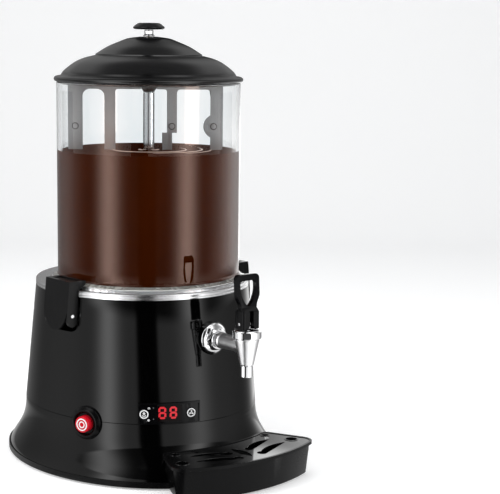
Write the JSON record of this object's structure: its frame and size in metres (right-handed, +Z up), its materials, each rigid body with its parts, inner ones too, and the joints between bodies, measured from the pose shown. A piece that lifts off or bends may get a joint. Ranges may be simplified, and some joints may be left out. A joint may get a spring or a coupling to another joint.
{
  "type": "hot chocolate dispenser machine",
  "caption": "Heated hot drink dispenser with a clear stirred bowl, domed lid, self-closing front tap, drip tray and flared black housing.",
  "frame": {"origin": "on the table plane under the axis of the bowl and the stirrer", "axes": "+Z up along the stirrer's axis, -Y towards the front with tap and tray, +X to the right seen from the front"},
  "size_m": [0.2788, 0.3799, 0.4751],
  "materials": {
    "rubber_black": "matt",
    "base_black": "matt",
    "housing_black": "high gloss",
    "nylon_black": "satin",
    "deck_steel": "satin",
    "pot_steel": "satin",
    "silicone": "matt",
    "heater_steel": "dull",
    "brass_parts": "satin",
    "dark_plastic": "matt",
    "clear_bowl": "clear, polished",
    "column_chrome": "polished",
    "white_plastic": "matt",
    "gearbox_aluminium": "as cast",
    "motor_paint": "satin",
    "bracket_steel": "zinc plated",
    "tap_chrome": "polished",
    "pin_steel": "bright",
    "bezel_black": "gloss",
    "panel_black": "high gloss",
    "window_dark": "gloss, dark red tint",
    "blade_steel": "satin",
    "hub_black": "gloss",
    "chocolate": "wet, glossy",
    "lid_black": "high gloss",
    "knob_black": "gloss",
    "handle_black": "gloss",
    "clip_black": "gloss",
    "switch_red": "gloss, translucent red",
    "key_white": "satin white",
    "tray_black": "fine matt",
    "grate_black": "satin gloss"
  },
  "bodies": {
    "machine": {"rubber_feet": "rubber_black", "base_plate": "base_black", "lower_skirt": "housing_black", "upper_housing": "housing_black", "cord_gland": "nylon_black", "deck": "deck_steel", "inner_pot": "pot_steel", "pot_gasket": "silicone", "water_tank": "pot_steel", "heating_element": "heater_steel", "heater_nuts": "brass_parts", "thermal_cutout": "dark_plastic", "water_probe": "heater_steel", "bowl": "clear_bowl", "column_tube": "column_chrome", "column_bushes": "white_plastic", "column_nut": "brass_parts", "column_seal": "silicone", "gearbox": "gearbox_aluminium", "motor_can": "motor_paint", "motor_bracket": "bracket_steel", "tap_escutcheon": "tap_chrome", "tap_nut": "tap_chrome", "tap_body": "tap_chrome", "shank_seal": "silicone", "shank_spacer": "silicone", "shank_locknut": "brass_parts", "tap_bonnet": "tap_chrome", "clip_pins": "pin_steel", "switch_bezel": "bezel_black", "switch_body": "dark_plastic", "display_panel": "panel_black", "display_window": "window_dark", "display_module": "dark_plastic"},
    "agitator": {"hub": "hub_black", "left_blade": "blade_steel", "right_blade": "blade_steel", "lower_sleeve": "white_plastic", "drive_shaft": "pin_steel", "shaft_coupling": "bracket_steel", "motor_shaft": "pin_steel", "hot_chocolate": "chocolate"},
    "lid": {"lid_shell": "lid_black", "knob_stem": "tap_chrome", "knob_nut": "brass_parts", "lid_knob": "knob_black"},
    "tap_stem": {"valve_stem": "pin_steel", "valve_seal": "silicone", "valve_spring": "pin_steel", "handle_pin": "tap_chrome"},
    "tap_lever": {"tap_handle": "handle_black"},
    "left_clip": {"clip_left": "clip_black"},
    "right_clip": {"clip_right": "clip_black"},
    "power_switch": {"power_button": "switch_red"},
    "left_key": {"key_left": "key_white"},
    "right_key": {"key_right": "key_white"},
    "tray": {"drip_tray": "tray_black"},
    "grate": {"drip_grate": "grate_black"}
  },
  "joints": [
    {"name": "lid_lift", "type": "slide", "parent": "machine", "child": "lid", "axis": [0, 0, 1], "range_m": [0, 0.12]},
    {"name": "agitator_spin", "type": "hinge", "parent": "machine", "child": "agitator", "pos_m": [0, 0, 0.3], "axis": [0, 0, 1], "continuous": true},
    {"name": "tap_stem_lift", "type": "slide", "parent": "machine", "child": "tap_stem", "axis": [0, 0, 1], "range_m": [0, 0.00366], "stiffness_N_per_m": 1500, "springref_m": -0.004, "deforming": ["valve_spring"]},
    {"name": "tap_handle_tilt", "type": "hinge", "parent": "tap_stem", "child": "tap_lever", "pos_m": [0, -0.1706, 0.173], "axis": [1, 0, 0], "range_deg": [0, 28]},
    {"name": "left_clip_swing", "type": "hinge", "parent": "machine", "child": "left_clip", "pos_m": [-0.117, -0.004, 0.171], "axis": [0, -1, 0], "range_deg": [0, 18]},
    {"name": "right_clip_swing", "type": "hinge", "parent": "machine", "child": "right_clip", "pos_m": [0.117, -0.004, 0.171], "axis": [0, 1, 0], "range_deg": [0, 18]},
    {"name": "power_press", "type": "slide", "parent": "machine", "child": "power_switch", "axis": [0.9219, 0.3873, 0], "range_m": [0, 0.003], "stiffness_N_per_m": 800, "springref_m": -0.001},
    {"name": "left_key_press", "type": "slide", "parent": "machine", "child": "left_key", "axis": [0.6436, 0.7654, 0], "range_m": [0, 0.0008], "stiffness_N_per_m": 600, "springref_m": -0.0005},
    {"name": "right_key_press", "type": "slide", "parent": "machine", "child": "right_key", "axis": [0.2766, 0.961, 0], "range_m": [0, 0.0008], "stiffness_N_per_m": 600, "springref_m": -0.0005},
    {"name": "tray_slide", "type": "slide", "parent": "machine", "child": "tray", "axis": [0, -1, 0], "range_m": [0, 0.09]},
    {"name": "grate_lift", "type": "slide", "parent": "tray", "child": "grate", "axis": [0, 0, 1], "range_m": [0, 0.05]}
  ],
  "couplings": [
    {"joint": "tap_handle_tilt", "follows": "tap_stem_lift", "rad_per_m": 133.33}
  ]
}
